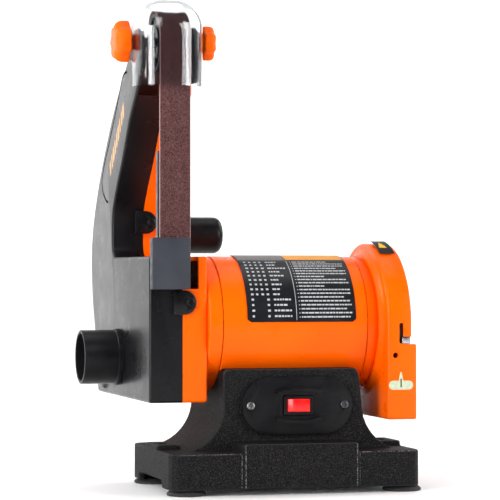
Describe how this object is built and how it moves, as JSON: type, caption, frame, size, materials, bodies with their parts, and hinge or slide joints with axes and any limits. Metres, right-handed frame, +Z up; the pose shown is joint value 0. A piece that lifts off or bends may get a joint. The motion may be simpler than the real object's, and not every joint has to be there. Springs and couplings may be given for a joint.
{
  "type": "bench-top belt and disc sander",
  "caption": "Bench-top sander: a vertical narrow abrasive belt in an arched side housing, an enclosed motor and a guarded sanding disc, on a cast base with a rocker switch.",
  "frame": {"origin": "centre of the footprint box, on the bench", "axes": "+Z up, +X right along the motor shaft towards the sanding disc, +Y to the rear"},
  "size_m": [0.2494, 0.2698, 0.392],
  "materials": {
    "cast_base": "wrinkle black paint",
    "orange_paint": "smooth orange enamel",
    "orange_plastic": "moulded orange plastic",
    "black_cover": "glossy black moulding",
    "black_plastic": "fine-textured black moulding",
    "slate_plate": "satin blue-grey",
    "guard_plate": "satin blue-grey paint",
    "dark_steel": "blackened steel",
    "bright_steel": "turned steel",
    "wheel_aluminium": "turned aluminium",
    "foot_rubber": "moulded rubber",
    "abrasive": "brown abrasive grit on cloth",
    "clear_hood": "clear polycarbonate",
    "rocker_red": "lit red rocker",
    "winding": "varnished copper winding",
    "label_film": "printed black label film"
  },
  "bodies": {
    "housing": {"base_casting": "cast_base", "frame_casting": "orange_paint", "motor_shell": "orange_paint", "end_bell_left": "orange_paint", "end_bell_right": "orange_paint", "disc_guard": "orange_paint", "side_cover": "black_cover", "cover_clip_front": "black_cover", "cover_clip_arm": "black_cover", "dust_port": "black_plastic", "switch_body": "black_plastic", "start_capacitor": "black_plastic", "switch_plate": "slate_plate", "front_guard_plate": "guard_plate", "head_bracket": "dark_steel", "platen": "dark_steel", "clip_screw_front": "dark_steel", "clip_screw_arm": "dark_steel", "cover_screw": "dark_steel", "bottom_plate": "bright_steel", "switch_screw_1": "bright_steel", "switch_screw_2": "bright_steel", "platen_screw_1": "bright_steel", "platen_screw_2": "bright_steel", "motor_bolt_1": "bright_steel", "motor_bolt_2": "bright_steel", "motor_bolt_3": "bright_steel", "guard_screw_1": "bright_steel", "guard_screw_2": "bright_steel", "guard_screw_3": "bright_steel", "motor_bearing_left": "bright_steel", "motor_bearing_right": "bright_steel", "foot_front_left": "foot_rubber", "foot_front_right": "foot_rubber", "foot_rear_left": "foot_rubber", "foot_rear_right": "foot_rubber", "cord_gland": "foot_rubber", "sanding_belt": "abrasive", "stator": "winding", "rating_plate": "label_film"},
    "spindle": {"motor_shaft": "bright_steel", "rotor": "bright_steel", "motor_fan": "black_plastic", "drive_wheel": "wheel_aluminium", "drive_nut": "bright_steel", "disc_plate": "wheel_aluminium", "abrasive_disc": "abrasive"},
    "tracking_carrier": {"tracking_axle": "bright_steel", "tracking_spring": "bright_steel"},
    "top_roller": {"top_wheel": "dark_steel", "top_bearing_left": "bright_steel", "top_bearing_right": "bright_steel"},
    "tracking_screw": {"tracking_knob": "orange_plastic"},
    "idler_carrier": {"idler_axle": "bright_steel", "tension_spring": "bright_steel"},
    "idler_roller": {"idler_wheel": "wheel_aluminium"},
    "tension_cap": {"tension_knob": "black_plastic"},
    "wheel_hood": {"clear_guard": "clear_hood"},
    "hood_clamp": {"guard_knob": "orange_plastic"},
    "rocker": {"rocker_switch": "rocker_red"}
  },
  "joints": [
    {"name": "spindle_spin", "type": "hinge", "parent": "housing", "child": "spindle", "pos_m": [-0.0686, -0.0469, 0.1325], "axis": [1, 0, 0], "continuous": true},
    {"name": "tracking_tilt", "type": "hinge", "parent": "housing", "child": "tracking_carrier", "pos_m": [-0.0686, -0.0574, 0.3585], "axis": [0, 1, 0], "range_deg": [-1.2, 1.2]},
    {"name": "top_wheel_spin", "type": "hinge", "parent": "tracking_carrier", "child": "top_roller", "pos_m": [-0.0686, -0.0574, 0.3585], "axis": [1, 0, 0], "continuous": true},
    {"name": "tracking_turn", "type": "hinge", "parent": "housing", "child": "tracking_screw", "pos_m": [-0.1013, -0.0574, 0.3585], "axis": [1, 0, 0], "range_deg": [-180, 180]},
    {"name": "tension_slide", "type": "slide", "parent": "housing", "child": "idler_carrier", "axis": [0, -1, 0], "range_m": [0, 0.012]},
    {"name": "idler_spin", "type": "hinge", "parent": "idler_carrier", "child": "idler_roller", "pos_m": [-0.0686, 0.08708, 0.206], "axis": [1, 0, 0], "continuous": true},
    {"name": "tension_turn", "type": "hinge", "parent": "idler_carrier", "child": "tension_cap", "pos_m": [-0.0409, 0.08708, 0.206], "axis": [1, 0, 0], "range_deg": [0, 180]},
    {"name": "hood_tilt", "type": "hinge", "parent": "housing", "child": "wheel_hood", "pos_m": [-0.0686, -0.0574, 0.3585], "axis": [-1, 0, 0], "range_deg": [0, 35]},
    {"name": "hood_knob_turn", "type": "hinge", "parent": "housing", "child": "hood_clamp", "pos_m": [-0.0393, -0.0574, 0.3585], "axis": [1, 0, 0], "range_deg": [0, 360]},
    {"name": "switch_rock", "type": "hinge", "parent": "housing", "child": "rocker", "pos_m": [0.0257, -0.1072, 0.0684], "axis": [0, 0, 1], "range_deg": [0, 12]}
  ],
  "couplings": [
    {"joint": "top_wheel_spin", "follows": "spindle_spin", "ratio": 1.42},
    {"joint": "idler_spin", "follows": "spindle_spin", "ratio": 1.6512},
    {"joint": "tracking_tilt", "follows": "tracking_turn", "ratio": 0.006667},
    {"joint": "tension_turn", "follows": "tension_slide", "rad_per_m": 261.79}
  ]
}
